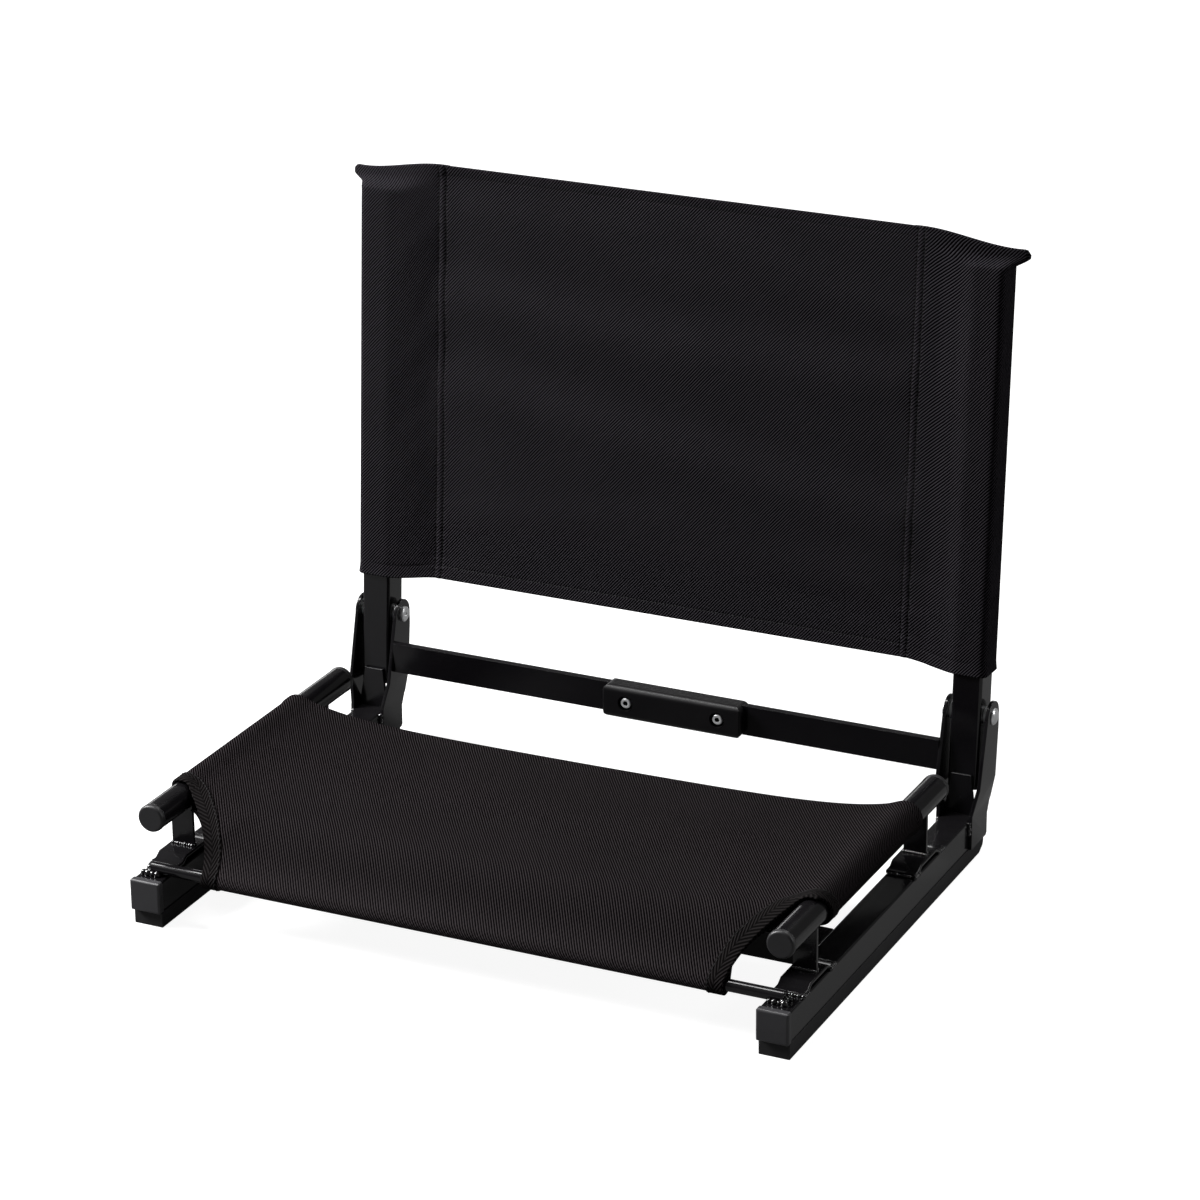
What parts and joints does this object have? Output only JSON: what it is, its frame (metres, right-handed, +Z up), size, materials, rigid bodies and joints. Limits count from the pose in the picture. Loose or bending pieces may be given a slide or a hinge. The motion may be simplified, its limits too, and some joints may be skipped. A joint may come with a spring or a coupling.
{
  "type": "folding bleacher seat",
  "caption": "Folding bleacher seat with a black square-tube base, a sling seat on round side tubes and a sling back that folds forward on rivets.",
  "frame": {"origin": "bottom centre of the overall box, at the floor", "axes": "+X to the right seen from the front, +Y from the front to the back, +Z up"},
  "size_m": [0.588, 0.4392, 0.5081],
  "materials": {
    "frame_paint": "gloss",
    "cap_plastic": "satin",
    "foot_rubber": "matte",
    "grip_plastic": "satin",
    "zinc_steel": "bright",
    "sling_cloth": "woven",
    "edge_tape": "herringbone"
  },
  "bodies": {
    "base": {"base_rail_left": "frame_paint", "base_rail_right": "frame_paint", "rail_front_cap_left": "cap_plastic", "rail_front_cap_right": "cap_plastic", "rail_rear_cap_left": "cap_plastic", "rail_rear_cap_right": "cap_plastic", "foot_strip_left": "foot_rubber", "foot_strip_right": "foot_rubber", "front_cross_rod": "frame_paint", "under_seat_brace": "frame_paint", "saddle_front_left": "frame_paint", "saddle_front_right": "frame_paint", "saddle_rear_left": "frame_paint", "saddle_rear_right": "frame_paint", "strap_front_left": "frame_paint", "strap_front_right": "frame_paint", "strap_rear_left": "frame_paint", "strap_rear_right": "frame_paint", "seat_tube_left": "frame_paint", "seat_tube_right": "frame_paint", "seat_tube_front_caps": "cap_plastic", "seat_tube_rear_caps": "cap_plastic", "hinge_ear_outer_left": "frame_paint", "hinge_ear_outer_right": "frame_paint", "hinge_ear_inner_left": "frame_paint", "hinge_ear_inner_right": "frame_paint", "stop_plate_left": "frame_paint", "stop_plate_right": "frame_paint", "pivot_rivets": "zinc_steel", "spacer_washers": "zinc_steel", "rear_cross_bar": "frame_paint", "handle_grip": "grip_plastic", "grip_screws": "zinc_steel", "seat_sling": "sling_cloth", "edge_tape_left": "edge_tape", "edge_tape_right": "edge_tape"},
    "backrest": {"back_post_left": "frame_paint", "back_post_right": "frame_paint", "post_top_caps": "cap_plastic", "post_bottom_caps": "cap_plastic", "back_sling": "sling_cloth"}
  },
  "joints": [
    {"name": "back_fold", "type": "hinge", "parent": "base", "child": "backrest", "pos_m": [0, 0.17893, 0.118], "axis": [1, 0, 0], "range_deg": [0, 94]}
  ]
}
